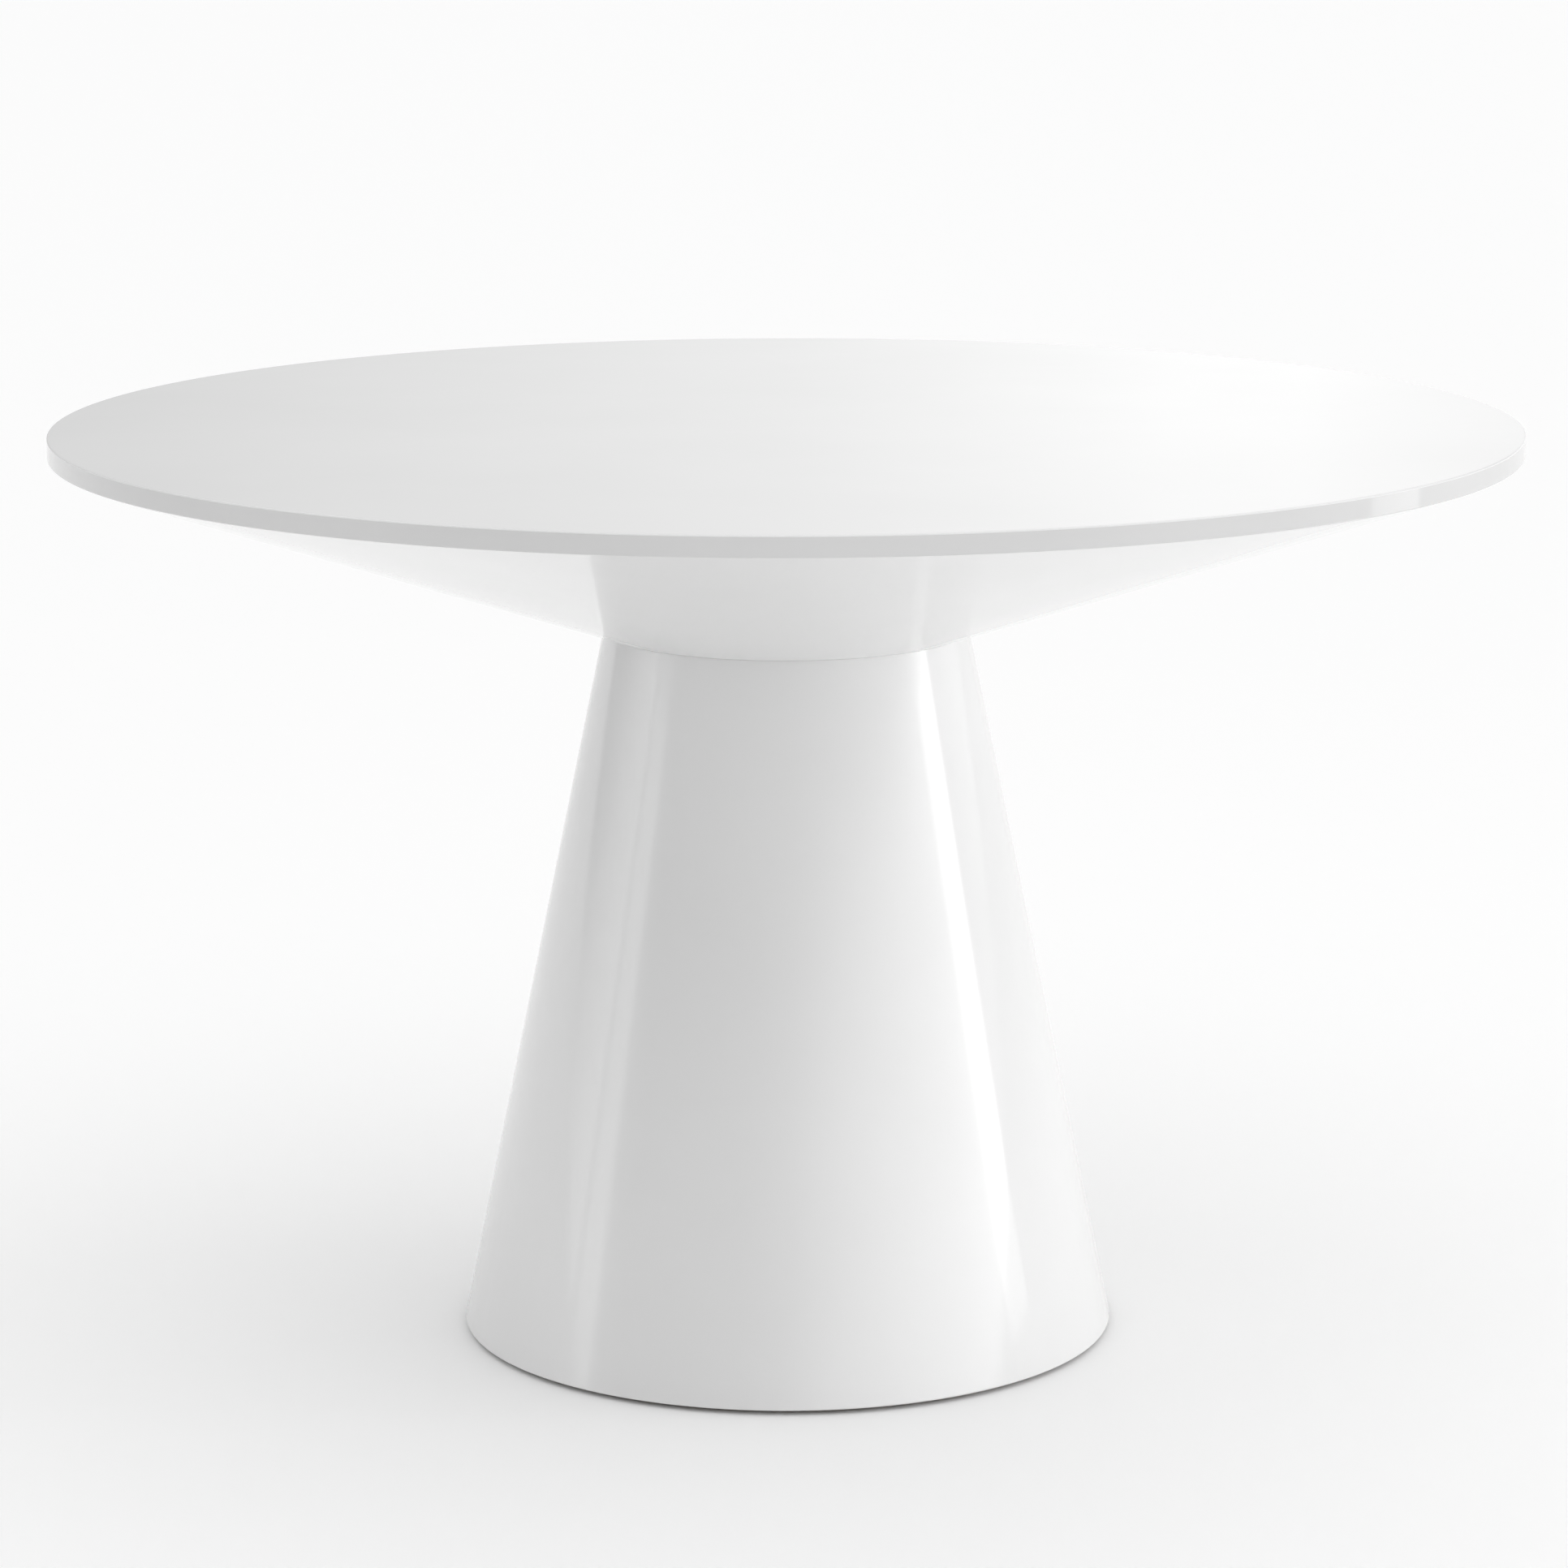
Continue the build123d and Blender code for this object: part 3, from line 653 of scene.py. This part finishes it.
studioAir = {
    "backdrop": "#FBFBFB",  # what the camera sees past the floor
    "ring": [  # degrees from the camera's side towards the right, and the wall's radiance there
        (-180, 0.9), (-172, 0.56), (-150, 0.42), (-120, 0.3), (-112, 0.45), (-86, 2.0),
        (-85, 1.3), (-83, 1.3), (-82, 1.8), (-75, 2.0), (-71, 0.45), (-62, 0.05), (-15, 0.05),
        (0, 0.4), (12, 1.0), (30, 1.7), (50, 2.3), (70, 2.7), (82, 3.2), (90, 4.4), (96, 5.6),
        (97.5, 1.6), (120, 1.5), (150, 1.1), (168, 0.85), (175, 1.25), (180, 0.9),
    ],
    # heights below are the sine of the angle above the horizon
    "ringFade": (0.1, 0.5),  # the walls fade out between these heights
    "overhead": 1.18,  # radiance of the ceiling of light
    "overheadFade": (0.15, 0.8),  # and the ceiling comes in between these
    "upperWall": 0.6,  # radiance that the gloss sees in the walls beside the table, higher up
    "brightEdge": ((30, 0.16), (80, 0.11)),  # degrees aside, and how high the bright part goes
    "edgeFade": 0.05,
    "behind": (150, 166),  # degrees aside over which the walls become whole again
}


def studioWalls():
    # Light from far away: an even ceiling overhead, and round the horizon a ring of grey walls
    # and pale panels.
    world = bpy.data.worlds.new("studioAir")
    bpy.context.scene.world = world
    world.use_nodes = True
    tree = world.node_tree
    walls = tree.nodes["Background"]
    walls.inputs["Color"].default_value = (1, 1, 1, 1)
    sky = addNode(tree, "SeparateXYZ", Vector=addNode(tree, "TexCoord")["Generated"])
    towards = addNode(tree, "Math", {"operation": "MULTIPLY", 1: -1.0}, a0=sky["Y"])
    azimuth = addNode(tree, "Math", {"operation": "ARCTAN2"}, a0=sky["X"], a1=towards["Value"])
    circle = {"From Min": -math.pi, "From Max": math.pi}
    roundRing = addNode(tree, "MapRange", circle, Value=azimuth["Value"])
    peak = max(radiance for _, radiance in studioAir["ring"])
    stops = [((degrees + 180) / 360, radiance / peak) for degrees, radiance in studioAir["ring"]]
    ring = addNode(tree, "ValToRGB", {"stops": stops}, Fac=roundRing["Result"])
    full, gone = studioAir["ringFade"]
    ringHeight = {"interpolation_type": "SMOOTHSTEP", "From Min": gone, "From Max": full,
                  "To Max": peak}
    low = addNode(tree, "MapRange", ringHeight, Value=sky["Z"])
    whole = addNode(tree, "Math", {"operation": "MULTIPLY"}, a0=ring["Color"], a1=low["Result"])
    start, end = studioAir["overheadFade"]
    ceiling = {"interpolation_type": "SMOOTHSTEP", "From Min": start, "From Max": end,
               "To Max": studioAir["overhead"]}
    high = addNode(tree, "MapRange", ceiling, Value=sky["Z"])

    # Seen in the gloss, the walls beside the table are bright only near the horizon, and an even
    # grey above that, or a level top would burn out from the sides. The bright part is lowest
    # straight to the left and right.
    aside = addNode(tree, "Math", {"operation": "ABSOLUTE"}, a0=azimuth["Value"])
    start, end = (math.radians(angle) for angle in studioAir["behind"])
    rear = {"interpolation_type": "SMOOTHSTEP", "From Min": start, "From Max": end}
    behind = addNode(tree, "MapRange", rear, Value=aside["Value"])
    (start, startEdge), (end, endEdge) = studioAir["brightEdge"]
    slope = {"From Min": math.radians(start), "From Max": math.radians(end),
             "To Min": startEdge, "To Max": endEdge}
    edge = addNode(tree, "MapRange", slope, Value=aside["Value"])
    above = addNode(tree, "Math", {"operation": "SUBTRACT"}, a0=sky["Z"], a1=edge["Result"])
    fade = {"interpolation_type": "SMOOTHSTEP", "From Min": studioAir["edgeFade"],
            "From Max": 0.0}
    below = addNode(tree, "MapRange", fade, Value=above["Value"])
    bright = addNode(tree, "Math", {"operation": "MAXIMUM"}, a0=behind["Result"],
                     a1=below["Result"])
    dim = {"operation": "MULTIPLY", 1: studioAir["upperWall"] / peak}
    grey = addNode(tree, "Math", dim, a0=low["Result"])
    inGloss = addNode(tree, "Mix", {"data_type": "FLOAT"}, a0=bright["Value"],
                      a2=grey["Value"], a3=whole["Value"])
    rays = addNode(tree, "LightPath")
    wall = addNode(tree, "Mix", {"data_type": "FLOAT"}, a0=rays["Is Glossy Ray"],
                   a2=whole["Value"], a3=inGloss[0])

    radiance = addNode(tree, "Math", {"operation": "ADD"}, a0=wall[0], a1=high["Result"])
    tree.links.new(radiance["Value"], walls.inputs["Strength"])
    backdrop = addNode(tree, "Background", {"Color": toLinear(studioAir["backdrop"])})
    air = addNode(tree, "MixShader", a0=rays["Is Camera Ray"],
                  a1=walls.outputs["Background"], a2=backdrop["Background"])
    tree.links.new(air["Shader"], tree.nodes["World Output"].inputs["Surface"])


studioFloor(half=40.0)
softbox("sidePanel", **sidePanel)
studioWalls()

cameraPlace = {
    "distance": 4.286,  # metres from the table's axis
    "height": 1.330,
    "pitch": 11.49,  # degrees down
    "roll": -0.11,
    "pan": -0.03,
    "lens": 121.0,
    "sensorWidth": 36.0,
}
camera = bpy.data.cameras.new("camera")
camera.lens = cameraPlace["lens"]
camera.sensor_width = cameraPlace["sensorWidth"]
cameraObject = bpy.data.objects.new("camera", camera)
bpy.context.scene.collection.objects.link(cameraObject)
cameraObject.matrix_world = (
    Matrix.Translation((0, -cameraPlace["distance"], cameraPlace["height"]))
    @ Matrix.Rotation(math.radians(-cameraPlace["pan"]), 4, "Z")
    @ Matrix.Rotation(math.radians(90 - cameraPlace["pitch"]), 4, "X")
    @ Matrix.Rotation(math.radians(cameraPlace["roll"]), 4, "Z")
)
bpy.context.scene.camera = cameraObject
bpy.context.scene.view_settings.view_transform = "Standard"
print("studio made")
